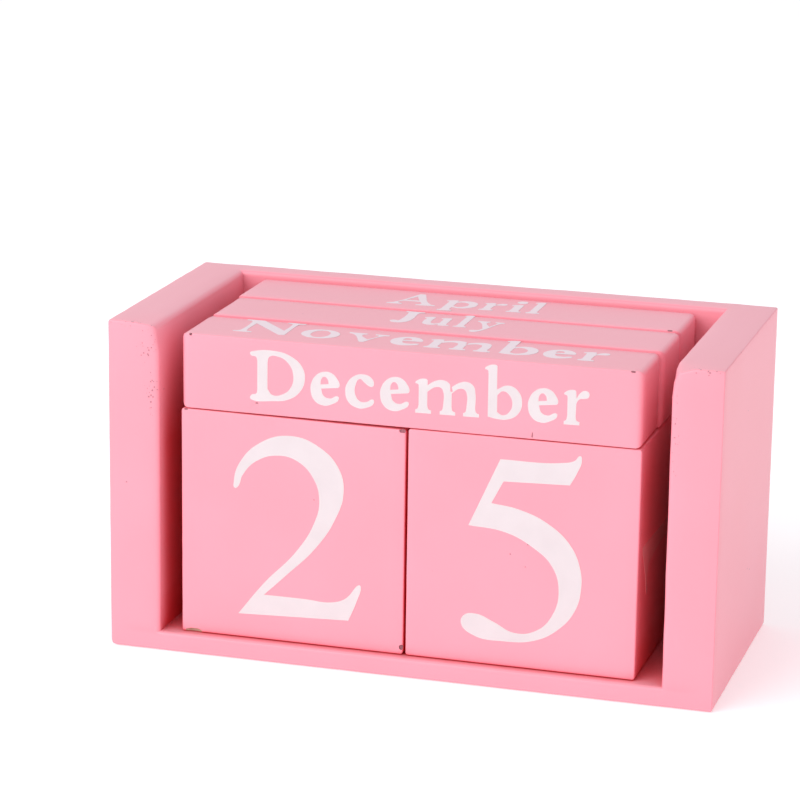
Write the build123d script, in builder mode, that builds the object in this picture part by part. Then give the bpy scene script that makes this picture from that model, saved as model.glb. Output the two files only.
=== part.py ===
from build123d import *
import os

# Perpetual block calendar: an open tray of four boards that holds two day cubes
# side by side and three month bars lying on top of the cubes.
# Millimetres, +X to the right, +Y to the back, +Z up. The origin is the centre of
# the tray's footprint, on the surface that the calendar stands on.

# Blocks
cube_size = 50.0          # edge of each day cube
front_bar_section = 16.5  # width and height of the front month bar
middle_bar_section = 16.9 # middle bar, sawn a little thicker
rear_bar_section = 17.2   # rear bar, likewise
bar_length = 100.0        # length of each month bar
block_rounding = 1.2      # sanded edges of the cubes and the bars

# Boards of the tray
left_side_thickness = 11.6
right_side_thickness = 11.1
base_thickness = 4.4
back_thickness = 6.0
tray_rounding = 1.5       # sanded edges of the glued-up tray

# Clearances
cube_gap = 0.3            # between the two cubes
bar_gap = 0.35            # between neighbouring month bars
left_finger_gap = 4.2     # beside the left cube
right_finger_gap = 5.8    # beside the right cube
front_recess = 1.8        # front bar sits this far behind the tray's front
cube_setback = 0.1        # cubes sit this far behind the front bar's face
rear_clearance = 1.3      # between the blocks and the back board
rim_above_bars = 1.3      # tray's top edge above the thickest month bar
middle_bar_shift = 0.6    # middle bar lies this far to the right of the front bar
rear_bar_shift = 0.4      # rear bar, likewise

# Room that the blocks take
pair_width = 2 * cube_size + cube_gap
bars_depth = front_bar_section + middle_bar_section + rear_bar_section + 2 * bar_gap
bars_height = max(front_bar_section, middle_bar_section, rear_bar_section)
blocks_width = max(pair_width, bar_length)
blocks_depth = max(cube_setback + cube_size, bars_depth)

# Tray, worked out from what it holds
cavity_width = left_finger_gap + blocks_width + right_finger_gap
tray_width = left_side_thickness + cavity_width + right_side_thickness
tray_depth = front_recess + blocks_depth + rear_clearance + back_thickness
tray_height = base_thickness + cube_size + bars_height + rim_above_bars
tray_front = -tray_depth / 2
back_inner = tray_depth / 2 - back_thickness
cavity_left = -tray_width / 2 + left_side_thickness
cavity_center_x = cavity_left + cavity_width / 2

# Places of the blocks
blocks_center_x = cavity_left + left_finger_gap + blocks_width / 2
blocks_front = tray_front + front_recess
cube_front = blocks_front + cube_setback
cube_pitch = cube_size + cube_gap
bars_floor = base_thickness + cube_size

os.makedirs("parts", exist_ok=True)

# Form of the whole tray. Its boards are glued up with butt joints and then sanded as
# one, so that the roundings run on across the joints.
thinnest_board = min(base_thickness, back_thickness, left_side_thickness, right_side_thickness)
edge_rounding = min(tray_rounding, 0.4 * thinnest_board)
cavity_depth = tray_depth - back_thickness
cavity_height = tray_height - base_thickness
with BuildPart() as tray_form:
    Box(tray_width, tray_depth, tray_height, align=(Align.CENTER, Align.CENTER, Align.MIN))
    with Locations((cavity_center_x, tray_front, base_thickness)):
        Box(
            cavity_width,
            cavity_depth,
            cavity_height,
            align=(Align.CENTER, Align.MIN, Align.MIN),
            mode=Mode.SUBTRACT,
        )
    cavity_corners = (
        tray_form.edges()
        .filter_by(lambda edge: abs(abs(edge.center().X - cavity_center_x) - cavity_width / 2) < 0.01)
        .filter_by(lambda edge: edge.center().Z < tray_height - 0.01)
        .filter_by(lambda edge: edge.center().Y > tray_front + 0.01)
    )
    cavity_floor_back = (
        tray_form.edges()
        .filter_by(Axis.X)
        .filter_by_position(Axis.Y, back_inner - 0.01, back_inner + 0.01)
        .filter_by_position(Axis.Z, base_thickness - 0.01, base_thickness + 0.01)
    )
    fillet(tray_form.edges() - cavity_corners - cavity_floor_back, radius=edge_rounding)

# Base board: lies between the side boards, under the back board.
with BuildPart() as base_board:
    add(tray_form.part)
    with Locations((cavity_center_x, 0, 0)):
        Box(
            cavity_width,
            tray_depth,
            base_thickness,
            align=(Align.CENTER, Align.CENTER, Align.MIN),
            mode=Mode.INTERSECT,
        )
base_board.part.label = "base_board"
export_step(base_board.part, "parts/base_board.step")

# Back board: stands on the base board, between the side boards.
with BuildPart() as back_board:
    add(tray_form.part)
    with Locations((cavity_center_x, back_inner, base_thickness)):
        Box(
            cavity_width,
            back_thickness,
            cavity_height,
            align=(Align.CENTER, Align.MIN, Align.MIN),
            mode=Mode.INTERSECT,
        )
back_board.part.label = "back_board"
export_step(back_board.part, "parts/back_board.step")

# Side boards: full depth and full height of the tray, outside the other two boards.
with BuildPart() as left_side:
    add(tray_form.part)
    with Locations((-tray_width / 2, 0, 0)):
        Box(
            left_side_thickness,
            tray_depth,
            tray_height,
            align=(Align.MIN, Align.CENTER, Align.MIN),
            mode=Mode.INTERSECT,
        )
left_side.part.label = "left_side"
export_step(left_side.part, "parts/left_side.step")

with BuildPart() as right_side:
    add(tray_form.part)
    with Locations((tray_width / 2, 0, 0)):
        Box(
            right_side_thickness,
            tray_depth,
            tray_height,
            align=(Align.MAX, Align.CENTER, Align.MIN),
            mode=Mode.INTERSECT,
        )
right_side.part.label = "right_side"
export_step(right_side.part, "parts/right_side.step")

# Day cubes: solid blocks that stand side by side on the base board.
cube_rounding = min(block_rounding, 0.2 * cube_size)
with BuildPart() as left_cube:
    with Locations((blocks_center_x - cube_pitch / 2, cube_front, base_thickness)):
        Box(cube_size, cube_size, cube_size, align=(Align.CENTER, Align.MIN, Align.MIN))
    fillet(left_cube.edges(), radius=cube_rounding)
left_cube.part.label = "left_cube"
export_step(left_cube.part, "parts/left_cube.step")

with BuildPart() as right_cube:
    with Locations((blocks_center_x + cube_pitch / 2, cube_front, base_thickness)):
        Box(cube_size, cube_size, cube_size, align=(Align.CENTER, Align.MIN, Align.MIN))
    fillet(right_cube.edges(), radius=cube_rounding)
right_cube.part.label = "right_cube"
export_step(right_cube.part, "parts/right_cube.step")

# Month bars: three square bars that lie side by side on the cubes, from the front.
month_bars = {
    "front_month_bar": (front_bar_section, 0.0),
    "middle_month_bar": (middle_bar_section, middle_bar_shift),
    "rear_month_bar": (rear_bar_section, rear_bar_shift),
}
bar_front = blocks_front
for name, (section, shift_x) in month_bars.items():
    with BuildPart() as month_bar:
        with Locations((blocks_center_x + shift_x, bar_front, bars_floor)):
            Box(bar_length, section, section, align=(Align.CENTER, Align.MIN, Align.MIN))
        fillet(month_bar.edges(), radius=min(block_rounding, 0.2 * section))
    month_bar.part.label = name
    export_step(month_bar.part, f"parts/{name}.step")
    bar_front += section + bar_gap

print(f"tray {tray_width:.2f} x {tray_depth:.2f} x {tray_height:.2f} mm")
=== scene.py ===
import math
import bmesh
import bpy
from mathutils import Matrix, Quaternion, Vector


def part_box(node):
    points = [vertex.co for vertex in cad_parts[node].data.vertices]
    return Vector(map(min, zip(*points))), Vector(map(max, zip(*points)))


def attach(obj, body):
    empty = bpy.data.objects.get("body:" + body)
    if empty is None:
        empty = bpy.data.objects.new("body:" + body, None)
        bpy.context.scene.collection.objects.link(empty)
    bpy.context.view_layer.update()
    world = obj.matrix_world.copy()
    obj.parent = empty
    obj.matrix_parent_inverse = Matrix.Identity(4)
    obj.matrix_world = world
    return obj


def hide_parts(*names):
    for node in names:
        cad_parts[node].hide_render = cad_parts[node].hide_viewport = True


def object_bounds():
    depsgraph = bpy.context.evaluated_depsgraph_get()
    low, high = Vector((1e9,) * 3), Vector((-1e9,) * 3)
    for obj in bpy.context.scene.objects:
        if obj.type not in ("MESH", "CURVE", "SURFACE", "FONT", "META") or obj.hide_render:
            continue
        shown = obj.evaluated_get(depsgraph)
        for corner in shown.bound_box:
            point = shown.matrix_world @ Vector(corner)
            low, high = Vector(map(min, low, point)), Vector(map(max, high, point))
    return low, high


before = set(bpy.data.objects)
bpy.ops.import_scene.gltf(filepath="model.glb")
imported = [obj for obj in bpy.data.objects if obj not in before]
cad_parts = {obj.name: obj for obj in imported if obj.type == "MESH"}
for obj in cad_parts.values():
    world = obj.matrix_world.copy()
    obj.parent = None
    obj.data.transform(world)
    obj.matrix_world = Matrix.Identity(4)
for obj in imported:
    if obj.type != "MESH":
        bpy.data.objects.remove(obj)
cad_low, cad_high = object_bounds()
MM = 0.001


# ---------------------------------------------------------------------------------------------------------
# The view. A long portrait lens on a tripod, a little above the calendar and to its right, held very
# slightly out of level.
sight_azimuth = 0.286
sight_elevation = 0.261
sight_roll = 0.014
sight_distance = 0.6996
sight_aim = Vector((-10.39, -0.2, 52.54)) * MM

towards_camera = Vector((
    math.sin(sight_azimuth) * math.cos(sight_elevation),
    -math.cos(sight_azimuth) * math.cos(sight_elevation),
    math.sin(sight_elevation),
))
bpy.ops.object.select_all(action="DESELECT")
bpy.ops.object.camera_add(location=sight_aim + towards_camera * sight_distance)
camera = bpy.context.object
camera.name = "camera"
camera.data.sensor_width = 36
camera.data.lens = 144.9
camera.rotation_mode = "QUATERNION"
camera.rotation_quaternion = (-towards_camera).to_track_quat("-Z", "Y") @ Quaternion((0, 0, 1), sight_roll)
bpy.context.scene.camera = camera
bpy.context.scene.view_settings.view_transform = "Standard"


# ---------------------------------------------------------------------------------------------------------
# The studio. A sheet of matt white board under the calendar, a white room all round it, one large soft
# box high on the left and a weaker one on the right.
def linear(hex_colour):
    """An sRGB hex colour as linear RGBA."""
    channels = [int(hex_colour[i:i + 2], 16) / 255 for i in (1, 3, 5)]
    return [c / 12.92 if c <= 0.04045 else ((c + 0.055) / 1.055) ** 2.4 for c in channels] + [1]


def add_node(tree, kind, inputs=None, **settings):
    """Adds a shader node with its settings; an input takes a value or another node's output socket."""
    node = tree.nodes.new("ShaderNode" + kind)
    for name, value in settings.items():
        setattr(node, name, value)
    for name, value in (inputs or {}).items():
        if isinstance(value, bpy.types.NodeSocket):
            tree.links.new(value, node.inputs[name])
        else:
            node.inputs[name].default_value = value
    return node


def new_material(name):
    """An empty node material with its output, as (material, tree, output node)."""
    material = bpy.data.materials.new(name)
    material.use_nodes = True
    material.node_tree.nodes.clear()
    return material, material.node_tree, add_node(material.node_tree, "OutputMaterial")


# White card: a matt paper face. It glows faintly so that it stays white to the edge of the picture.
white_card, tree, output = new_material("white_card")
card = add_node(tree, "BsdfPrincipled", {
    "Base Color": linear("#F6F4F4"),
    "Roughness": 0.9,
    "Specular IOR Level": 0.1,
    "Emission Color": linear("#FFFFFF"),
    "Emission Strength": 0.27,
})
tree.links.new(card.outputs["BSDF"], output.inputs["Surface"])

bpy.ops.mesh.primitive_plane_add(size=8, location=(0, 0, cad_low.z))
floor = bpy.context.object
floor.name = "floor"
floor.data.materials.append(white_card)

room_light = bpy.data.worlds.new("white_room")
room_light.use_nodes = True
room_light.node_tree.nodes["Background"].inputs["Color"].default_value = linear("#FBFBFF")
room_light.node_tree.nodes["Background"].inputs["Strength"].default_value = 0.75
bpy.context.scene.world = room_light

calendar_centre = (cad_low + cad_high) / 2
for name, azimuth, elevation, distance, side, power in [
    ("soft_box_left", -34, 30, 1.6, 1.3, 15.5),
    ("soft_box_right", 60, 30, 1.4, 0.8, 0.4),
]:
    bearing = math.radians(azimuth)
    height = math.radians(elevation)
    aim = Vector((
        math.sin(bearing) * math.cos(height),
        -math.cos(bearing) * math.cos(height),
        math.sin(height),
    ))
    bpy.ops.object.light_add(type="AREA", location=calendar_centre + aim * distance)
    soft_box = bpy.context.object
    soft_box.name = name
    soft_box.data.size = side
    soft_box.data.energy = power
    soft_box.rotation_mode = "QUATERNION"
    soft_box.rotation_quaternion = (-aim).to_track_quat("-Z", "Y")


# ---------------------------------------------------------------------------------------------------------
# The tray. Four boards of light softwood, a base, a back and two sides, glued edge to edge with no
# fasteners, sanded round as one and sprayed with the same satin pink paint. The front and top are open.
def painted_gap_shade(tree, place, coat):
    """The coat's colour with painted shade: deeper and redder low in the tray's narrow gaps, where occlusion
    is high.
    """
    openness = add_node(tree, "AmbientOcclusion", {"Distance": 9 * MM}, samples=8)
    depth = add_node(tree, "MapRange", {
        "Value": openness.outputs["AO"], "From Min": 0.1, "From Max": 0.8, "To Min": 1.0, "To Max": 0.0,
    }).outputs["Result"]
    spot = add_node(tree, "SeparateXYZ", {"Vector": place}).outputs
    aside = add_node(tree, "Math", {0: spot["X"]}, operation="ABSOLUTE").outputs[0]
    facing = add_node(tree, "TexCoord").outputs["Normal"]
    normal = add_node(tree, "SeparateXYZ", {"Vector": facing}).outputs

    # The painted shade lies only above the base, below the rim, between the outer faces, before the back,
    # and not underneath.
    for value, none_at, all_at in [
        (spot["Z"], 3.6 * MM, 4.4 * MM),
        (spot["Z"], 65 * MM, 46 * MM),
        (aside, 64 * MM, 60 * MM),
        (spot["Y"], 29 * MM, 27 * MM),
        (normal["Z"], -0.99, -0.8),
    ]:
        share = add_node(tree, "MapRange", {"Value": value, "From Min": none_at, "From Max": all_at})
        depth = add_node(tree, "Math", {
            0: depth, 1: share.outputs["Result"],
        }, operation="MULTIPLY").outputs[0]
    # Painted shade: the gaps are painted towards a deep red.
    return add_node(tree, "Mix", {0: depth, 6: coat, 7: linear("#E00A1C")}, data_type="RGBA").outputs[2]


def painted_wood(name, grain, open_grain=()):
    """Satin pink paint over softwood whose grain runs along one axis, with patches of open end grain."""
    material, tree, output = new_material(name)
    place = add_node(tree, "TexCoord").outputs["Object"]
    along_grain = [1 if axis == grain else 9 for axis in range(3)]
    stretched = add_node(tree, "Mapping", {"Vector": place, "Scale": along_grain}).outputs["Vector"]

    # Spraying leaves the coat a shade thinner in places a few centimetres wide.
    drift = add_node(tree, "TexNoise", {"Vector": place, "Scale": 1 / (28 * MM), "Detail": 2.0})
    coat = add_node(tree, "Mix", {
        0: drift.outputs["Fac"], 6: linear("#F995A3"), 7: linear("#FB9EAE"),
    }, data_type="RGBA")

    # Early and late wood, about 1.4 mm apart, shows through as faint ridges along the grain.
    grain_lines = add_node(tree, "TexNoise", {"Vector": stretched, "Scale": 1 / (14 * MM), "Detail": 3.0})
    # The paint dries with a fine orange peel, drawn at 0.7 mm so that it shows.
    peel = add_node(tree, "TexNoise", {"Vector": place, "Scale": 1 / (0.7 * MM), "Detail": 1.0})

    # Pin holes: open pores of about 0.35 mm that the paint didn't fill, scattered in loose clusters.
    holes = add_node(tree, "TexVoronoi", {"Vector": place, "Scale": 1 / (2.4 * MM), "Randomness": 1.0})
    hole = add_node(tree, "Math", {0: holes.outputs["Distance"], 1: 0.08}, operation="LESS_THAN")
    clusters = add_node(tree, "TexNoise", {"Vector": place, "Scale": 1 / (15 * MM), "Detail": 1.0})
    cluster = add_node(tree, "Math", {0: clusters.outputs["Fac"], 1: 0.68}, operation="GREATER_THAN")
    pinhole = add_node(tree, "Math", {0: hole.outputs[0], 1: cluster.outputs[0]}, operation="MULTIPLY")

    # Where end grain was sanded thin, its pores stay open: pits of 0.1 to 0.3 mm, 0.7 mm apart.
    pits = add_node(tree, "TexVoronoi", {"Vector": place, "Scale": 1 / (0.7 * MM), "Randomness": 1.0})
    uneven = add_node(tree, "TexNoise", {"Vector": place, "Scale": 1 / (2.5 * MM), "Detail": 1.0})
    for centre, reach in open_grain:
        offset = add_node(tree, "VectorMath", {0: place, 1: Vector(centre) * MM}, operation="SUBTRACT")
        share = [1 / (half * MM) for half in reach]
        scaled = add_node(tree, "VectorMath", {0: offset.outputs[0], 1: share}, operation="MULTIPLY")
        away = add_node(tree, "VectorMath", {0: scaled.outputs[0]}, operation="LENGTH")
        size = add_node(tree, "MapRange", {
            "Value": away.outputs["Value"], "From Min": 0.2, "From Max": 1.0, "To Min": 0.56, "To Max": 0.0,
        })
        width = add_node(tree, "Math", {
            0: size.outputs["Result"], 1: uneven.outputs["Fac"],
        }, operation="MULTIPLY")
        pit = add_node(tree, "Math", {
            0: pits.outputs["Distance"], 1: width.outputs[0],
        }, operation="LESS_THAN")
        pinhole = add_node(tree, "Math", {0: pinhole.outputs[0], 1: pit.outputs[0]}, operation="MAXIMUM")
    speckled = add_node(tree, "Mix", {
        0: pinhole.outputs[0], 6: coat.outputs[2], 7: linear("#BE7C88"),
    }, data_type="RGBA")

    # Painted sheen: what faces up is greyed towards a pale pink, standing in for the reflection that a top
    # catches.
    upward = add_node(tree, "SeparateXYZ", {"Vector": add_node(tree, "TexCoord").outputs["Normal"]})
    painted_top_sheen = add_node(tree, "MapRange", {
        "Value": upward.outputs["Z"], "From Min": 0.7, "From Max": 0.98, "To Min": 0.0, "To Max": 0.32,
    })
    sheened_coat = add_node(tree, "Mix", {
        0: painted_top_sheen.outputs["Result"], 6: speckled.outputs[2], 7: linear("#E9C3CC"),
    }, data_type="RGBA")

    relief = add_node(tree, "Bump", {
        "Height": grain_lines.outputs["Fac"], "Distance": 0.06 * MM, "Strength": 0.5,
    })
    relief = add_node(tree, "Bump", {
        "Height": peel.outputs["Fac"], "Distance": 0.02 * MM, "Strength": 0.4,
        "Normal": relief.outputs["Normal"],
    })
    relief = add_node(tree, "Bump", {
        "Height": pinhole.outputs[0], "Distance": 0.15 * MM, "Strength": 0.8,
        "Normal": relief.outputs["Normal"],
    }, invert=True)
    # The paint's colour carries the painted gap shade.
    paint = add_node(tree, "BsdfPrincipled", {
        "Base Color": painted_gap_shade(tree, place, sheened_coat.outputs[2]),
        "Roughness": 0.36,
        "IOR": 1.5,
        "Sheen Weight": 0.05,
        "Sheen Roughness": 0.4,
        "Normal": relief.outputs["Normal"],
    })
    tree.links.new(paint.outputs["BSDF"], output.inputs["Surface"])
    return material


# One paint, over wood whose grain runs across, upright, or from front to back. The side boards show their
# end grain at the front: in patches near the top on the left one, along the inner edge on the right one.
painted_across = painted_wood("painted_pine_across", 0)
painted_upright = painted_wood("painted_pine_upright", 2)
painted_left_board = painted_wood("painted_pine_left_board", 1, [
    ((-57.6, -30.2, 68), (3.4, 3, 6)),
    ((-60, -29.6, 72.4), (9, 2, 1.2)),
    ((-56.6, -30, 58), (2, 3, 7)),
])
painted_right_board = painted_wood("painted_pine_right_board", 1, [
    ((56.6, -30, 59), (1.3, 3, 15)),
    ((62, -30, 72.4), (6, 3, 1.2)),
])

# Bare pine: pale beige end grain with darker rings, seen where a knock has taken the paint off.
bare_pine, tree, output = new_material("bare_pine")
place = add_node(tree, "TexCoord").outputs["Object"]
rings = add_node(tree, "TexNoise", {"Vector": place, "Scale": 1 / (0.9 * MM), "Detail": 3.0})
ring_colour = add_node(tree, "Mix", {
    0: rings.outputs["Fac"], 6: linear("#8C6450"), 7: linear("#D9B9A0"),
}, data_type="RGBA")
timber = add_node(tree, "BsdfPrincipled", {"Base Color": ring_colour.outputs[2], "Roughness": 0.8})
tree.links.new(timber.outputs["BSDF"], output.inputs["Surface"])

# Painted shade and dirt: a mottled dark red-brown that lines a small dent.
dent_shade_and_dirt, tree, output = new_material("dent_shade_and_dirt")
place = add_node(tree, "TexCoord").outputs["Object"]
smut = add_node(tree, "TexNoise", {"Vector": place, "Scale": 1 / (0.5 * MM)})
smut_colour = add_node(tree, "Mix", {
    0: smut.outputs["Fac"], 6: linear("#8E4C58"), 7: linear("#C08690"),
}, data_type="RGBA")
dirt = add_node(tree, "BsdfPrincipled", {"Base Color": smut_colour.outputs[2], "Roughness": 0.8})
tree.links.new(dirt.outputs["BSDF"], output.inputs["Surface"])


def only(piece):
    """Makes a piece the one selected and active object."""
    bpy.ops.object.select_all(action="DESELECT")
    piece.select_set(True)
    bpy.context.view_layer.objects.active = piece


def new_block(name, low, high):
    """A box of wood between two corners, with its place in its mesh."""
    bpy.ops.object.select_all(action="DESELECT")
    bpy.ops.mesh.primitive_cube_add(size=1, location=(low + high) / 2)
    block = bpy.context.object
    block.name = name
    block.data.name = name
    block.scale = high - low
    bpy.ops.object.transform_apply(location=True, rotation=True, scale=True)
    return block


def apply_modifier(piece, kind, **settings):
    """Adds a modifier with its settings and applies it."""
    only(piece)
    modifier = piece.modifiers.new(kind.lower(), kind)
    for name, value in settings.items():
        setattr(modifier, name, value)
    bpy.ops.object.modifier_apply(modifier=modifier.name)


def carve(piece, cutter):
    """Cuts a piece with another shape, whose own material lines the cut."""
    apply_modifier(
        piece, "BOOLEAN", object=cutter, operation="DIFFERENCE", solver="EXACT", material_mode="TRANSFER",
    )
    bpy.data.objects.remove(cutter)


def pick(piece, kind, wanted):
    """Opens a piece for editing, with only the wanted points or edges selected."""
    only(piece)
    bpy.ops.object.mode_set(mode="EDIT")
    bpy.ops.mesh.select_mode(type=kind)
    bpy.ops.mesh.select_all(action="DESELECT")
    mesh = bmesh.from_edit_mesh(piece.data)
    for part in mesh.verts if kind == "VERT" else mesh.edges:
        part.select_set(wanted(part))
    bmesh.update_edit_mesh(piece.data)


def weigh_edges(piece, weight, **place):
    """Gives a bevel weight to the edges that lie at the given x, y or z."""
    def lies_there(edge):
        ends = [corner.co for corner in edge.verts]
        return all(abs(getattr(end, axis) - at) < 0.01 * MM for end in ends for axis, at in place.items())

    pick(piece, "EDGE", lies_there)
    bpy.ops.transform.edge_bevelweight(value=weight)
    bpy.ops.object.mode_set(mode="OBJECT")


fine = 0.001 * MM


def score(piece, spacing):
    """Cuts evenly spaced loops across a piece along all three axes, so that its surface can be uneven."""
    only(piece)
    corners = [Vector(corner) for corner in piece.bound_box]
    bpy.ops.object.mode_set(mode="EDIT")
    for axis in range(3):
        low = min(corner[axis] for corner in corners)
        high = max(corner[axis] for corner in corners)
        count = round((high - low) / spacing)
        for step in range(1, count):
            point = Vector()
            normal = Vector()
            point[axis] = low + (high - low) * step / count
            normal[axis] = 1
            bpy.ops.mesh.select_all(action="SELECT")
            bpy.ops.mesh.bisect(plane_co=point, plane_no=normal, threshold=fine)
    bpy.ops.object.mode_set(mode="OBJECT")


def hand_sand(piece, wander, nibble):
    """Takes a little off: wander unevenly all over, and nibble along the rounded edges."""
    edge_points = set()
    mesh = bmesh.new()
    mesh.from_mesh(piece.data)
    for vertex in mesh.verts:
        facing = [face.normal for face in vertex.link_faces]
        if any(facing[0].angle(other, 0) > math.radians(4) for other in facing[1:]):
            edge_points.add(vertex.index)
    mesh.free()
    rim = piece.vertex_groups.new(name="rim")
    rim.add(sorted(edge_points), 1, "REPLACE")
    for texture, depth, group in [(slow_clouds, wander, ""), (quick_clouds, nibble, "rim")]:
        apply_modifier(piece, "DISPLACE", texture=texture, texture_coords="LOCAL", mid_level=-0.2,
                       strength=-depth, vertex_group=group)
    piece.vertex_groups.clear()


slow_clouds = bpy.data.textures.new("slow_clouds", "CLOUDS")
slow_clouds.noise_scale = 25 * MM
quick_clouds = bpy.data.textures.new("quick_clouds", "CLOUDS")
quick_clouds.noise_scale = 3.5 * MM


def rub_down(piece, corner, push, reach):
    """Pushes the points nearest to a corner inwards, and the points within reach of it less and less."""
    nearest = min((vertex.co - corner).length for vertex in piece.data.vertices)
    pick(piece, "VERT", lambda vertex: (vertex.co - corner).length < nearest + 0.3 * MM)
    bpy.ops.transform.translate(
        value=push,
        use_proportional_edit=True,
        proportional_edit_falloff="SMOOTH",
        proportional_size=reach,
    )
    bpy.ops.object.mode_set(mode="OBJECT")


def saw_off(piece, name, cuts):
    """Copies a piece and saws off the waste at each cut, which is a point and the way to the waste."""
    only(piece)
    bpy.ops.object.duplicate()
    board = bpy.context.object
    board.name = name
    board.data.name = name
    board.data.materials.clear()
    bpy.ops.object.mode_set(mode="EDIT")
    for point, waste in cuts:
        bpy.ops.mesh.select_all(action="SELECT")
        bpy.ops.mesh.bisect(
            plane_co=point, plane_no=waste, use_fill=True, clear_outer=True, threshold=fine,
        )
    bpy.ops.mesh.select_all(action="SELECT")
    bpy.ops.mesh.normals_make_consistent(inside=False)
    bpy.ops.object.mode_set(mode="OBJECT")
    return board


def smooth(piece):
    """Smooth shading, with creases kept sharp."""
    only(piece)
    bpy.ops.object.shade_smooth_by_angle(angle=math.radians(35))


def chip(piece, lining, place, size):
    """Knocks an irregular flake of that size out of a piece, at a place in the frame."""
    bpy.ops.object.select_all(action="DESELECT")
    bpy.ops.mesh.primitive_ico_sphere_add(subdivisions=2, radius=0.5)
    flake = bpy.context.object
    flake.scale = size
    flake.location = place
    bpy.ops.object.transform_apply(location=True, rotation=True, scale=True)
    bpy.ops.object.mode_set(mode="EDIT")
    bpy.ops.mesh.select_all(action="SELECT")
    roughness = 0.16 * min(size)
    bpy.ops.transform.vertex_random(offset=roughness, seed=3)
    bpy.ops.object.mode_set(mode="OBJECT")
    flake.data.materials.append(lining)
    carve(piece, flake)


left_low, left_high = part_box("left_side")
right_low, right_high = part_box("right_side")
left_face, right_face = left_low.x, right_high.x
left_wall, right_wall = left_high.x, right_low.x
front_face, rear_face, back_wall = left_low.y, left_high.y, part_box("back_board")[0].y
foot_level, floor_level, rim_level = left_low.z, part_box("base_board")[1].z, left_high.z

tray_form = new_block("tray_form", left_low, right_high)
overshoot = 10 * MM
hollow = new_block(
    "hollow",
    Vector((left_wall, front_face - overshoot, floor_level)),
    Vector((right_wall, back_wall, rim_level + overshoot)),
)
carve(tray_form, hollow)

largest_radius = 2 * MM
for radius, place in [
    (0.7, {"x": left_face, "z": rim_level}),
    (1.7, {"x": left_wall, "z": rim_level}),
    (1.2, {"x": right_wall, "z": rim_level}),
    (0.5, {"x": right_face, "z": rim_level}),
    (0.6, {"y": rear_face, "z": rim_level}),
    (0.9, {"y": back_wall, "z": rim_level}),
    (0.6, {"y": front_face, "z": rim_level}),
    (0.5, {"x": left_face, "y": front_face}),
    (1.6, {"x": left_wall, "y": front_face}),
    (1.0, {"x": right_wall, "y": front_face}),
    (0.4, {"x": right_face, "y": front_face}),
    (0.7, {"y": front_face, "z": floor_level}),
    (0.5, {"y": front_face, "z": foot_level}),
    (1.9, {"x": left_face, "z": foot_level}),
    (0.6, {"x": right_face, "z": foot_level}),
    (1.8, {"x": left_face, "y": rear_face}),
    (0.9, {"x": right_face, "y": rear_face}),
    (0.6, {"y": rear_face, "z": foot_level}),
]:
    weigh_edges(tray_form, radius * MM / largest_radius, **place)
apply_modifier(tray_form, "BEVEL", width=largest_radius, segments=5, limit_method="WEIGHT")
score(tray_form, spacing=3.2 * MM)
for wall, push, reach in [
    (left_wall, (-0.7, 0.3, -0.6), 6),
    (right_wall, (0.7, 0.3, -1.0), 4),
]:
    rub_down(tray_form, Vector((wall, front_face, rim_level)), Vector(push) * MM, reach * MM)
hand_sand(tray_form, wander=0.06 * MM, nibble=0.15 * MM)

towards_left, towards_right = Vector((-1, 0, 0)), Vector((1, 0, 0))
left_joint, right_joint = Vector((left_wall, 0, 0)), Vector((right_wall, 0, 0))
base_joint, up = Vector((0, 0, floor_level)), Vector((0, 0, 1))
between_sides = [(left_joint, towards_left), (right_joint, towards_right)]
for name, grain_paint, cuts in [
    ("left_side", painted_left_board, [(left_joint, towards_right)]),
    ("right_side", painted_right_board, [(right_joint, towards_left)]),
    ("base_board", painted_across, between_sides + [(base_joint, up)]),
    ("back_board", painted_across, between_sides + [(base_joint, -up)]),
]:
    board = saw_off(tray_form, "painted_" + name, cuts)
    board.data.materials.append(grain_paint)
    if name == "right_side":
        outer_dent = Vector((right_face, -13 * MM, rim_level))
        front_dent = Vector((right_face - 4 * MM, front_face, rim_level))
        chip(board, dent_shade_and_dirt, outer_dent, Vector((0.7, 1.2, 0.7)) * MM)
        chip(board, dent_shade_and_dirt, front_dent, Vector((0.8, 0.7, 0.7)) * MM)
    smooth(board)
    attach(board, "tray")
    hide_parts(name)
bpy.data.objects.remove(tray_form)


# ---------------------------------------------------------------------------------------------------------
# The day cubes. Two solid softwood cubes, a little out of square, sanded round at every edge and
# painted like the tray. They stand loose on the base and lift or slide out to be turned.
print_thickness = 0.04 * MM


def weigh_edges_along(piece, axis, weight):
    """Gives a bevel weight to the edges that run along one axis."""
    def runs_along(edge):
        run = edge.verts[1].co - edge.verts[0].co
        return abs(run.normalized()[axis]) > 0.99

    pick(piece, "EDGE", runs_along)
    bpy.ops.transform.edge_bevelweight(value=weight)
    bpy.ops.object.mode_set(mode="OBJECT")


def loose_block(name, node, radii, paint, sag=0):
    """A painted block just inside its CAD box, rounded by radii along x, y and z, its top lower at right."""
    low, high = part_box(node)
    middle = (low + high) / 2
    skin = Vector((print_thickness,) * 3)
    block = new_block(name, low + skin, high - skin)
    if sag:
        pick(block, "VERT", lambda vertex: vertex.co.x > middle.x and vertex.co.z > middle.z)
        bpy.ops.transform.translate(value=(0, 0, -sag))
        bpy.ops.object.mode_set(mode="OBJECT")
    largest = max(radii)
    for axis, radius in enumerate(radii):
        weigh_edges_along(block, axis, radius / largest)
    apply_modifier(block, "BEVEL", width=largest, segments=4, limit_method="WEIGHT")
    score(block, spacing=3 * MM)
    hand_sand(block, wander=0.02 * MM, nibble=0.08 * MM)
    block.data.materials.append(paint)
    return block


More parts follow.
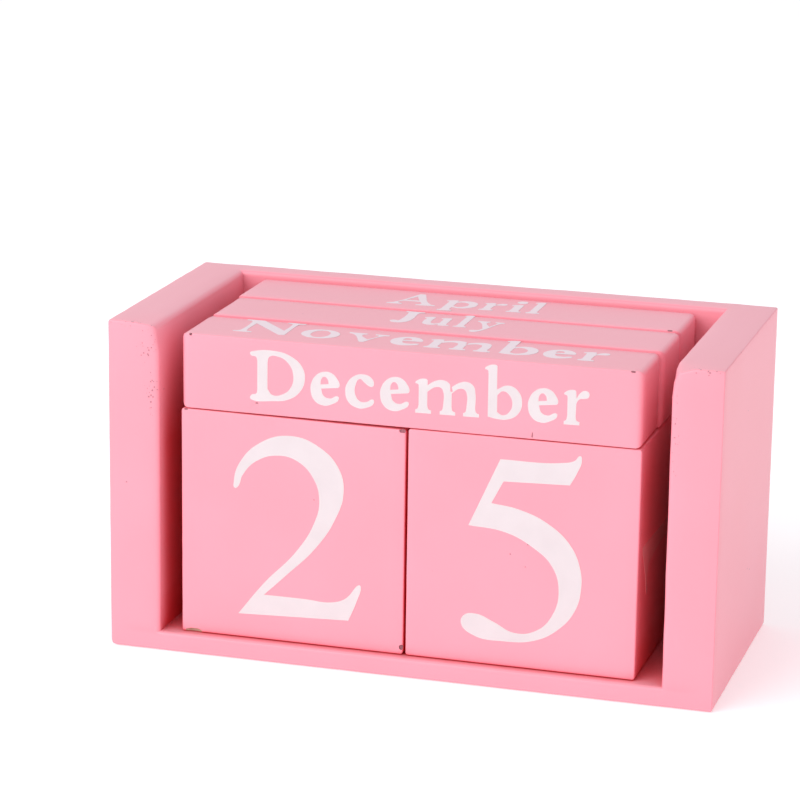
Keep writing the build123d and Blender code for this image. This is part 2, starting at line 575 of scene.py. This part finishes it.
cube_radii = (0.35 * MM, 0.7 * MM, 0.5 * MM)
left_sag = 0.35 * MM
left_cube = loose_block("painted_left_cube", "left_cube", cube_radii, painted_upright, sag=left_sag)
right_cube = loose_block("painted_right_cube", "right_cube", cube_radii, painted_upright)
cube_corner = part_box("left_cube")[0]
for lining, place, size in [
    (bare_pine, (2.8, 0, 0.2), (4.0, 1.3, 1.5)),
    (dent_shade_and_dirt, (49.5, 0.2, 1.7), (1.0, 0.9, 1.3)),
    (dent_shade_and_dirt, (49.2, 0.1, 49.3), (1.6, 1.0, 1.0)),
    (dent_shade_and_dirt, (1.2, 0, 49.8), (1.0, 0.8, 0.6)),
]:
    chip(left_cube, lining, cube_corner + Vector(place) * MM, Vector(size) * MM)
for side, cube in [("left", left_cube), ("right", right_cube)]:
    smooth(cube)
    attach(cube, side + "_day_cube")
    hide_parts(side + "_cube")


# ---------------------------------------------------------------------------------------------------------
# The month bars. Three square softwood bars, painted like the rest, that lie side by side on the cubes.
# Each is rolled over to show another of its four months.
bar_radii = (0.3 * MM, 1.3 * MM, 1.5 * MM)
bars = {}
for place in ["front", "middle", "rear"]:
    node = place + "_month_bar"
    bars[place] = loose_block("painted_" + node, node, bar_radii, painted_across)
for bar, place, size in [
    ("front", (2.2, 0.2, 16.2), (0.7, 0.7, 0.6)),
    ("front", (97.7, 0.1, 16.3), (1.1, 0.7, 0.6)),
    ("front", (76.9, 0, 1.0), (0.4, 0.4, 1.6)),
    ("front", (17.0, 0, 2.5), (0.8, 0.3, 0.5)),
    ("rear", (97.6, 0.1, 17.1), (1.2, 0.7, 0.6)),
]:
    bar_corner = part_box(bar + "_month_bar")[0]
    chip(bars[bar], dent_shade_and_dirt, bar_corner + Vector(place) * MM, Vector(size) * MM)
for place, bar in bars.items():
    smooth(bar)
    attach(bar, place + "_bar")
    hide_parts(place + "_month_bar")


# ---------------------------------------------------------------------------------------------------------
# The digits. Off-white ink screen printed on the six faces of each cube, in a bookish serif face. The
# left cube holds 0, 1, 2, 6, 7 and 8, the right one 0 to 5, and a 6 turned over serves as a 9.
SHARP = True

# Screen ink: a flat, slightly chalky off-white film, thin enough for the pink to warm it, and painted paler
# where it faces up.
screen_ink, tree, output = new_material("screen_ink")
place = add_node(tree, "TexCoord").outputs["Object"]
film = add_node(tree, "TexNoise", {"Vector": place, "Scale": 1 / (6 * MM), "Detail": 3.0})
film_colour = add_node(tree, "Mix", {
    0: film.outputs["Fac"], 6: linear("#D3C8CA"), 7: linear("#DFD5D7"),
}, data_type="RGBA")
# Painted sheen: on what faces up the ink is painted paler, as the tops catch more light.
upward = add_node(tree, "SeparateXYZ", {"Vector": add_node(tree, "TexCoord").outputs["Normal"]})
ink_top_sheen = add_node(tree, "MapRange", {"Value": upward.outputs["Z"], "From Min": 0.7, "From Max": 0.98})
ink_with_top_sheen = add_node(tree, "Mix", {
    0: ink_top_sheen.outputs["Result"], 6: film_colour.outputs[2], 7: linear("#EEDDE3"),
}, data_type="RGBA")
mesh_marks = add_node(tree, "TexNoise", {"Vector": place, "Scale": 1 / (0.6 * MM)})
ink_relief = add_node(tree, "Bump", {
    "Height": mesh_marks.outputs["Fac"], "Distance": 0.01 * MM, "Strength": 0.4,
})
# Painted shade: the ink, like the paint, is painted deeper and redder low in the tray's gaps.
ink = add_node(tree, "BsdfPrincipled", {
    "Base Color": painted_gap_shade(tree, place, ink_with_top_sheen.outputs[2]),
    "Roughness": 0.6,
    "IOR": 1.45,
    "Normal": ink_relief.outputs["Normal"],
})
tree.links.new(ink.outputs["BSDF"], output.inputs["Surface"])


def oval(x, y, half_width, half_height):
    """The outline of an upright oval."""
    turns = [math.tau * step / 8 for step in range(8)]
    return [(x + half_width * math.cos(turn), y + half_height * math.sin(turn)) for turn in turns]


def screen_print(name, outlines, corner, across, upwards, body):
    """Prints outlines, in millimetres, on the face with this lower left corner and two directions."""
    drawing = bpy.data.curves.new(name, "CURVE")
    drawing.dimensions = "2D"
    drawing.fill_mode = "BOTH"
    drawing.extrude = print_thickness
    drawing.resolution_u = 8
    for outline in outlines:
        spline = drawing.splines.new("BEZIER")
        spline.bezier_points.add(len(outline) - 1)
        spline.use_cyclic_u = True
        for point, (x, y, *sharp) in zip(spline.bezier_points, outline):
            point.co = Vector((x, y, 0)) * MM
            point.handle_left_type = point.handle_right_type = "VECTOR" if sharp else "AUTO"
    mark = bpy.data.objects.new(name, drawing)
    bpy.context.scene.collection.objects.link(mark)
    only(mark)
    bpy.ops.object.convert(target="MESH")
    mark = bpy.context.object
    outwards = across.cross(upwards)
    turn = Matrix((across, upwards, outwards)).transposed().to_4x4()
    mark.data.transform(Matrix.Translation(corner - outwards * print_thickness) @ turn)
    bpy.ops.object.mode_set(mode="EDIT")
    bpy.ops.mesh.select_all(action="SELECT")
    bpy.ops.mesh.remove_doubles(threshold=2 * fine)
    bpy.ops.mesh.normals_make_consistent(inside=False)
    bpy.ops.object.mode_set(mode="OBJECT")
    mark.data.materials.append(screen_ink)
    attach(mark, body)


# Each digit on its 50 mm face, from the lower left corner.
digits = {
    "0": [oval(25, 25.6, 14.2, 20.4), oval(25, 25.6, 9.2, 18.6)],
    "1": [[
        (17.0, 5.5, SHARP), (33.6, 5.5, SHARP), (33.6, 6.6, SHARP), (29.4, 7.8), (28.1, 12),
        (28.1, 46.2, SHARP), (26.8, 46.2, SHARP), (21.4, 43.2), (16.4, 41.6, SHARP),
        (16.8, 40.3, SHARP), (21.8, 40.6), (23.1, 37), (23.1, 12), (21.8, 7.8), (17.0, 6.6, SHARP),
    ]],
    "2": [[
        (12.2, 33.4), (12.0, 34.9), (13.2, 38.9), (17.9, 43.9), (24.6, 46.0), (31.1, 44.1),
        (35.4, 39.8), (36.5, 34.6), (34.6, 28.4), (30.4, 21.8), (23.6, 14.8), (18.9, 10.2, SHARP),
        (28.0, 10.2), (33.9, 10.1), (37.0, 11.2), (40.2, 14.6), (40.5, 14.2), (39.6, 10.8),
        (37.8, 6.4, SHARP), (13.0, 5.35, SHARP), (18.9, 12.9), (26.1, 20.7), (30.0, 27.3), (31.1, 32.4),
        (29.7, 37.2), (26.3, 40.5), (22.0, 41.4), (17.0, 39.7), (14.0, 36.4), (12.8, 33.6),
    ]],
    "3": [[
        (14.0, 37.6), (16.6, 42.8), (21.8, 45.8), (27.6, 45.5), (33.0, 42.2), (34.9, 36.6),
        (33.0, 31.0), (28.6, 27.2, SHARP), (34.6, 24.0), (37.4, 17.6), (35.2, 10.6), (28.8, 6.2),
        (21.0, 5.4), (14.4, 6.4), (12.2, 8.8), (13.4, 11.0), (16.4, 11.0), (20.6, 9.0), (25.6, 8.2),
        (30.4, 10.6), (32.3, 16.4), (30.6, 21.8), (25.6, 24.9), (20.4, 25.0, SHARP),
        (20.4, 26.6, SHARP), (26.2, 28.6), (29.6, 32.4), (29.8, 37.4), (26.6, 41.2), (21.8, 41.9),
        (17.6, 40.2), (15.0, 36.8),
    ]],
    "4": [
        [(30.4, 46.0, SHARP), (30.4, 18.6, SHARP), (37.8, 18.6, SHARP), (37.8, 15.0, SHARP),
         (30.4, 15.0, SHARP), (30.4, 5.5, SHARP), (25.6, 5.5, SHARP), (25.6, 15.0, SHARP),
         (10.8, 15.0, SHARP), (10.8, 17.4, SHARP), (27.6, 46.0, SHARP)],
        [(25.6, 38.6, SHARP), (25.6, 18.6, SHARP), (13.9, 18.6, SHARP)],
    ],
    "5": [[
        (20.1, 45.25, SHARP), (33.4, 45.7), (35.9, 46.4), (37.1, 47.5), (37.4, 46.8), (36.4, 43.6),
        (35.0, 41.0, SHARP), (20.9, 40.5, SHARP), (18.4, 35.6, SHARP), (24.3, 34.8), (30.6, 32.3),
        (35.4, 28.2), (37.7, 23.2), (38.0, 18.6), (36.8, 13.9), (33.4, 9.5), (28.4, 6.5), (21.4, 5.6),
        (15.0, 6.25), (12.3, 8.6), (12.9, 10.5), (15.4, 11.1), (19.4, 9.7), (23.9, 7.75), (28.6, 8.75),
        (32.0, 12.5), (33.2, 18.2), (31.6, 23.2), (27.5, 26.8), (21.6, 29.5), (13.5, 30.3, SHARP),
    ]],
    "6": [
        [(36.2, 46.0, SHARP), (27.4, 43.0), (19.2, 36.6), (14.0, 28.0), (12.4, 18.8), (15.2, 10.0),
         (20.8, 6.0), (26.8, 5.5), (34.0, 9.0), (37.6, 16.2), (36.6, 23.6), (31.6, 28.6), (25.0, 29.4),
         (18.8, 26.9, SHARP), (20.8, 33.4), (26.6, 40.4), (36.4, 44.8, SHARP)],
        oval(25.2, 17.2, 7.4, 10.2),
    ],
    "7": [[
        (12.2, 38.0, SHARP), (13.9, 45.6, SHARP), (38.4, 45.6, SHARP), (38.4, 44.2, SHARP),
        (24.6, 5.5, SHARP), (20.2, 5.5, SHARP), (33.2, 41.2, SHARP), (18.4, 41.0), (15.2, 40.0),
        (13.4, 37.6, SHARP),
    ]],
    "8": [
        [(25.0, 46.0), (32.2, 43.2), (35.0, 37.0), (33.0, 31.4), (29.4, 28.0, SHARP), (34.8, 23.4),
         (37.6, 16.4), (34.0, 8.8), (25.0, 5.4), (16.0, 8.6), (12.6, 15.6), (15.2, 21.9),
         (20.4, 26.0, SHARP), (16.4, 30.6), (14.9, 36.4), (17.8, 43.0)],
        oval(24.9, 36.7, 5.4, 6.9),
        oval(25.0, 15.6, 7.4, 8.4),
    ],
}

east, north, sky = Vector((1, 0, 0)), Vector((0, 1, 0)), Vector((0, 0, 1))
for side, shown, sag in [
    ("left", {"front": "2", "top": "0", "back": "6", "underside": "8", "right": "1", "left": "7"}, left_sag),
    ("right", {"front": "5", "top": "4", "back": "0", "underside": "2", "right": "1", "left": "3"}, 0),
]:
    low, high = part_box(side + "_cube")
    sagging_east = Vector((high.x - low.x, 0, -sag)).normalized()
    for face, corner, across, upwards in [
        ("front", low, east, sky),
        ("top", Vector((low.x, low.y, high.z)), sagging_east, north),
        ("back", Vector((low.x, high.y, high.z)), east, -sky),
        ("underside", Vector((low.x, high.y, low.z)), east, -north),
        ("right", Vector((high.x, high.y, low.z)), sky, -north),
        ("left", Vector((low.x, high.y, high.z)), -sky, -north),
    ]:
        digit = shown[face]
        screen_print(f"{side}_cube_{face}_digit_{digit}", digits[digit], corner, across, upwards,
                     side + "_day_cube")


# ---------------------------------------------------------------------------------------------------------
# The month names. The same ink and typeface, one name along each long face of a bar, set so that
# rolling the bar towards the front brings the next one up the right way.
def foot(left, right, level=0):
    """The bracketed foot of a stem, from its right side round to its left."""
    return [
        (right, level + 1.8, SHARP), (right + 0.25, level + 0.95), (right + 0.85, level + 0.7, SHARP),
        (right + 0.85, level, SHARP), (left - 0.7, level, SHARP), (left - 0.7, level + 0.7, SHARP),
        (left - 0.25, level + 0.95), (left, level + 1.8, SHARP),
    ]


def flag(left, right, top):
    """The slanting head of a stem, from its left side round to its right."""
    return [
        (left, top - 1.9, SHARP), (left - 0.15, top - 1.25), (left - 0.75, top - 0.95),
        (left - 0.6, top - 0.6), (right - 0.3, top), (right, top - 0.25, SHARP),
    ]


def shoulder(start, right):
    """The top of an arch, from one stem over to the right side of the next."""
    return [(start, 6.1, SHARP), (start + 1.6, 7.1), (right - 1.9, 7.4), (right - 0.5, 6.7), (right, 5.0)]


def crook(left, start):
    """The underside of an arch, from the left side of its stem back to the stem before."""
    return [(left, 4.9), (left - 0.5, 5.7), (left - 1.6, 5.8), (start, 4.7, SHARP)]


# Each letter in millimetres, from its left end and its baseline, 7.3 to the top of a small letter.
letters = {
    "A": [
        [(5.2, 11.0, SHARP), (6.5, 11.0, SHARP), (10.3, 1.5), (11.7, 0.6, SHARP), (11.7, 0, SHARP),
         (7.0, 0, SHARP), (7.0, 0.6, SHARP), (8.0, 1.1), (7.3, 3.4, SHARP), (3.2, 3.4, SHARP), (2.5, 1.3),
         (3.7, 0.6, SHARP), (3.7, 0, SHARP), (0, 0, SHARP), (0, 0.6, SHARP), (1.3, 1.4)],
        [(3.6, 4.4, SHARP), (6.8, 4.4, SHARP), (5.3, 8.4, SHARP)],
    ],
    "D": [
        [(0, 10.3), (0.6, 10.6), (5.3, 11.0), (9.2, 10.0), (11.6, 7.9), (12.2, 5.3), (11.2, 2.6),
         (8.7, 0.7), (4.6, 0), (0.5, 0), (0, 0.4), (0.3, 1.1), (1.4, 1.5), (1.6, 2.4, SHARP),
         (1.6, 8.6, SHARP), (1.3, 9.4), (0.2, 9.7)],
        [(3.9, 2.6, SHARP), (3.9, 8.4, SHARP), (4.3, 9.6), (6.2, 9.8), (8.4, 8.6), (9.6, 6.0), (9.0, 3.2),
         (7.2, 1.7), (5.0, 1.4)],
    ],
    "F": [[
        (0, 10.8, SHARP), (8.6, 10.8, SHARP), (8.7, 8.2, SHARP), (8.1, 8.2, SHARP), (7.2, 9.7),
        (4.4, 9.9, SHARP), (4.4, 6.1, SHARP), (5.9, 6.0), (6.6, 7.0, SHARP), (7.1, 7.0, SHARP),
        (7.1, 4.2, SHARP), (6.6, 4.2, SHARP), (5.9, 5.2), (4.4, 5.2, SHARP), (4.4, 1.7), (5.0, 0.8),
        (6.0, 0.6, SHARP), (6.0, 0, SHARP), (0, 0, SHARP), (0, 0.6, SHARP), (1.3, 0.9), (1.6, 1.8),
        (1.6, 9.0), (1.2, 9.9), (0, 10.2, SHARP),
    ]],
    "J": [[
        (0.9, 10.8, SHARP), (5.7, 10.8, SHARP), (5.7, 10.2, SHARP), (4.8, 9.8), (4.5, 9.0), (4.5, 2.6),
        (3.5, 0.4), (1.6, -0.4), (0.0, 0.3), (-0.2, 1.3), (0.7, 1.8), (1.6, 1.5), (1.9, 2.6), (1.9, 9.0),
        (1.7, 9.8), (0.9, 10.2, SHARP),
    ]],
    "M": [[
        (0, 10.8, SHARP), (3.9, 10.8, SHARP), (7.4, 3.6, SHARP), (10.9, 10.8, SHARP),
        (14.6, 10.8, SHARP), (14.6, 10.2, SHARP), (13.5, 9.9), (13.2, 9.0), (13.2, 1.8), (13.5, 0.9),
        (14.6, 0.6, SHARP), (14.6, 0, SHARP), (9.4, 0, SHARP), (9.4, 0.6, SHARP), (10.3, 0.9),
        (10.5, 1.8), (10.5, 7.6, SHARP), (6.8, 0, SHARP), (6.3, 0, SHARP), (2.6, 7.8, SHARP),
        (2.6, 1.8), (2.9, 0.9), (4.0, 0.6, SHARP), (4.0, 0, SHARP), (0, 0, SHARP), (0, 0.6, SHARP),
        (1.1, 0.9), (1.4, 1.8), (1.4, 9.0), (1.1, 9.9), (0, 10.2, SHARP),
    ]],
    "N": [[
        (0, 10.8, SHARP), (3.7, 10.8, SHARP), (10.2, 3.6, SHARP), (10.2, 9.2), (9.9, 9.9),
        (8.9, 10.2, SHARP), (8.9, 10.8, SHARP), (12.8, 10.8, SHARP), (12.8, 10.2, SHARP), (11.7, 9.9),
        (11.4, 9.2), (11.4, 0, SHARP), (10.1, -0.1, SHARP), (2.8, 8.0, SHARP), (2.8, 1.6), (3.1, 0.9),
        (4.2, 0.6, SHARP), (4.2, 0, SHARP), (0.2, 0, SHARP), (0.2, 0.6, SHARP), (1.2, 0.9), (1.5, 1.6),
        (1.5, 9.0), (1.2, 9.8), (0, 10.2, SHARP),
    ]],
    "O": [oval(6.2, 5.4, 6.2, 5.6), oval(6.2, 5.4, 3.6, 4.7)],
    "S": [[
        (7.0, 10.9, SHARP), (7.0, 7.6, SHARP), (6.5, 7.6, SHARP), (5.4, 9.6), (3.9, 10.2), (2.4, 9.3),
        (2.7, 7.9), (5.4, 6.4), (7.6, 4.6), (7.8, 2.4), (6.0, 0.2), (3.2, -0.2), (1.4, 0.4),
        (0.6, -0.1, SHARP), (0.3, 3.6, SHARP), (0.9, 3.6, SHARP), (1.9, 1.3), (3.8, 0.6), (5.3, 1.6),
        (4.9, 3.0), (2.3, 4.5), (0.4, 6.3), (0.4, 8.8), (2.2, 10.7), (4.3, 10.9), (5.8, 10.4),
        (6.5, 10.9, SHARP),
    ]],
    "a": [
        [(0.6, 5.4), (0.9, 6.5), (2.2, 7.2), (3.9, 7.3), (5.4, 6.6), (5.8, 5.2), (5.8, 1.9), (6.2, 1.3),
         (7.0, 1.3, SHARP), (7.0, 0.8, SHARP), (6.0, 0), (4.7, 0.1), (4.0, 1.0, SHARP), (2.9, 0.1),
         (1.5, -0.1), (0.3, 0.7), (0.1, 2.2), (1.3, 3.7), (3.8, 4.6, SHARP), (3.8, 5.6), (3.1, 6.3),
         (2.5, 6.0), (2.3, 5.1), (1.5, 4.7)],
        [(3.8, 3.8, SHARP), (2.4, 3.1), (2.0, 2.0), (2.8, 1.1), (3.8, 1.7, SHARP)],
    ],
    "b": [
        flag(0.6, 2.5, 11.5) + [(2.5, 6.3, SHARP), (4.7, 7.3), (6.8, 6.5), (7.9, 3.9), (7.1, 1.4),
                                (5.0, 0.1), (2.6, 0), (0.6, 0.4, SHARP)],
        [(2.6, 5.1, SHARP), (3.8, 6.0), (5.1, 5.3), (5.8, 3.5), (5.2, 1.7), (3.8, 0.9), (2.6, 1.5, SHARP)],
    ],
    "c": [[
        (6.3, 5.4), (5.7, 6.7), (4.1, 7.35), (2.0, 6.9), (0.4, 5.2), (0, 3.4), (0.7, 1.2), (2.4, 0.1),
        (4.4, 0.1), (6.4, 1.6), (6.1, 2.1), (4.7, 1.5), (3.3, 1.5), (2.2, 3.0), (2.3, 5.0), (3.2, 6.3),
        (4.1, 5.7), (5.0, 5.0), (5.9, 4.8),
    ]],
    "e": [
        [(6.1, 4.0, SHARP), (6.4, 4.4), (5.9, 5.9), (4.6, 7.1), (3.0, 7.3), (1.3, 6.5), (0.2, 4.8),
         (0, 3.1), (0.8, 1.0), (2.6, 0), (4.6, 0.3), (6.3, 1.9), (5.9, 2.2), (4.3, 1.6), (2.9, 2.1),
         (2.35, 3.6, SHARP)],
        [(2.2, 4.5, SHARP), (2.4, 5.7), (3.0, 6.2), (3.7, 5.8), (4.0, 4.7, SHARP)],
    ],
    "g": [
        [(3.3, 7.35), (5.0, 6.8), (6.2, 7.3), (7.2, 7.1), (7.1, 6.2), (6.1, 6.2), (6.5, 4.7),
         (5.6, 2.5), (3.4, 1.7), (2.2, 1.4), (5.0, 0.8), (7.0, -0.6), (6.2, -2.7), (3.2, -3.4),
         (0.5, -2.8), (0.1, -1.4), (1.3, -0.3), (0.7, 0.7), (1.4, 1.8), (0.4, 2.9), (0.1, 4.6),
         (1.2, 6.7)],
        oval(3.3, 4.5, 1.4, 2.2),
        oval(3.6, -1.4, 2.2, 0.95),
    ],
    "h": [flag(0.75, 2.7, 11.4) + shoulder(2.7, 8.0) + foot(6.05, 8.0) + crook(6.05, 2.7) + foot(0.75, 2.7)],
    "i": [flag(0.75, 2.7, 7.4) + foot(0.75, 2.7), oval(1.7, 10.0, 1.25, 1.25)],
    "l": [flag(0.6, 2.3, 11.4) + foot(0.6, 2.3)],
    "m": [
        flag(0.75, 2.65, 7.4) + shoulder(2.65, 7.9) + shoulder(7.9, 13.0) + foot(11.1, 13.0)
        + crook(11.1, 7.9) + foot(6.05, 7.9) + crook(6.05, 2.65) + foot(0.75, 2.65),
    ],
    "n": [flag(0.75, 2.7, 7.4) + shoulder(2.7, 8.0) + foot(6.05, 8.0) + crook(6.05, 2.7) + foot(0.75, 2.7)],
    "o": [oval(4.0, 3.6, 4.0, 3.75), oval(4.0, 3.6, 1.95, 3.0)],
    "p": [
        flag(0.75, 2.7, 7.4) + [(2.7, 6.3, SHARP), (4.8, 7.3), (7.0, 6.5), (8.0, 3.7), (7.1, 1.1),
                                (4.9, -0.1), (2.7, 0.5, SHARP)] + foot(0.75, 2.7, -3.2),
        [(2.8, 5.1, SHARP), (4.0, 5.9), (5.3, 5.3), (6.0, 3.5), (5.3, 1.6), (4.0, 0.9), (2.8, 1.6, SHARP)],
    ],
    "r": [
        flag(0.7, 2.5, 7.4) + [(2.6, 5.6, SHARP), (3.3, 6.8), (4.3, 7.4), (5.2, 7.0), (5.1, 6.0), (4.3, 5.7),
                               (3.2, 5.5), (2.6, 4.6, SHARP)] + foot(0.7, 2.5),
    ],
    "s": [[
        (5.0, 5.1, SHARP), (4.8, 7.1, SHARP), (2.6, 7.35), (0.9, 6.6), (0.3, 5.2), (1.2, 3.8),
        (3.5, 2.7), (3.8, 1.6), (2.9, 0.8), (1.4, 1.3), (0.6, 2.4, SHARP), (0.2, 2.3, SHARP),
        (0.4, 0.2, SHARP), (2.9, -0.1), (5.0, 0.7), (5.7, 2.3), (4.7, 3.7), (2.4, 4.8), (2.0, 5.7),
        (2.8, 6.5), (3.9, 6.2), (4.6, 5.0, SHARP),
    ]],
    "t": [[
        (2.9, 9.1, SHARP), (2.9, 7.1, SHARP), (4.8, 7.1, SHARP), (4.8, 6.3, SHARP), (2.9, 6.3, SHARP),
        (2.9, 2.2), (3.4, 1.3), (4.9, 1.4, SHARP), (4.9, 0.8, SHARP), (3.4, -0.1), (1.7, 0.2),
        (0.95, 1.8), (0.95, 6.3, SHARP), (0, 6.3, SHARP), (0, 6.8, SHARP), (1.7, 7.6),
        (2.4, 9.1, SHARP),
    ]],
    "u": [
        flag(0.75, 2.7, 7.2) + [(2.7, 2.5), (3.2, 1.4), (4.0, 1.3), (5.0, 2.2, SHARP)] + flag(5.0, 6.85, 7.2)
        + [(6.85, 1.8, SHARP), (7.1, 0.95), (7.8, 0.75, SHARP), (7.8, 0.15, SHARP), (5.1, -0.1, SHARP),
           (5.0, 1.0, SHARP), (4.0, 0.1), (2.7, -0.15), (1.3, 0.5), (0.75, 2.0)],
    ],
    "v": [[
        (0, 7.1, SHARP), (3.9, 7.1, SHARP), (3.9, 6.5, SHARP), (3.2, 6.0), (5.1, 2.2, SHARP),
        (6.5, 5.4), (6.4, 6.2), (5.6, 6.5, SHARP), (5.6, 7.1, SHARP), (8.6, 7.1, SHARP),
        (8.6, 6.5, SHARP), (7.6, 6.0), (4.9, -0.1, SHARP), (4.0, -0.1, SHARP), (1.0, 6.0),
        (0, 6.5, SHARP),
    ]],
    "y": [[
        (0, 7.1, SHARP), (3.1, 7.1, SHARP), (3.1, 6.5, SHARP), (2.6, 6.0), (4.0, 2.4, SHARP),
        (5.0, 5.3), (5.0, 6.2), (4.4, 6.5, SHARP), (4.4, 7.1, SHARP), (6.7, 7.1, SHARP),
        (6.7, 6.5, SHARP), (6.0, 6.0), (3.6, -0.7), (2.6, -2.6), (1.4, -3.4), (0.5, -2.9), (0.6, -1.9),
        (1.5, -1.6), (2.2, -1.4), (3.0, 0.2, SHARP), (0.75, 6.0), (0, 6.5, SHARP),
    ]],
}
letter_gap = 1.25


def set_word(word, left, right, baseline, size=1.0, rise=0.0):
    """The outlines of a word that runs from left to right along a bar, its baseline rising that much."""
    placed = []
    pen = 0
    for letter in word:
        for outline in letters[letter]:
            placed.append([(x + pen, y, *sharp) for x, y, *sharp in outline])
        pen += max(x for x, *_ in letters[letter][0]) + letter_gap
    stretch = (right - left) / (pen - letter_gap)
    return [
        [(left + x * stretch, baseline + y * size + x * stretch * rise / (right - left), *sharp)
         for x, y, *sharp in outline]
        for outline in placed
    ]


# Each bar's names with their ends, from the bar's left end, and their baseline on the face.
for place, names in [
    ("front", [("December", 15.5, 88.65, 3.13, 1.0, 0.9), ("November", 9.6, 90.1, 5.0),
               ("October", 20.6, 79.4, 3.8), ("September", 11.6, 88.4, 3.8)]),
    ("middle", [("August", 23.3, 76.7, 3.8), ("July", 38.6, 62.4, 6.0, 0.95), ("June", 34, 66, 3.8),
                ("May", 34, 66, 3.8)]),
    ("rear", [("January", 21, 79, 3.8), ("April", 33.4, 67.6, 3.9, 0.93, 1.0), ("March", 26.5, 73.5, 3.8),
              ("February", 17, 83, 3.8)]),
]:
    low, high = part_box(place + "_month_bar")
    for (word, *setting), (face, corner, upwards) in zip(names, [
        ("front", low, sky),
        ("top", Vector((low.x, low.y, high.z)), north),
        ("back", Vector((low.x, high.y, high.z)), -sky),
        ("underside", Vector((low.x, high.y, low.z)), -north),
    ]):
        screen_print(f"{place}_bar_{face}_{word}", set_word(word, *setting), corner, east, upwards,
                     place + "_bar")
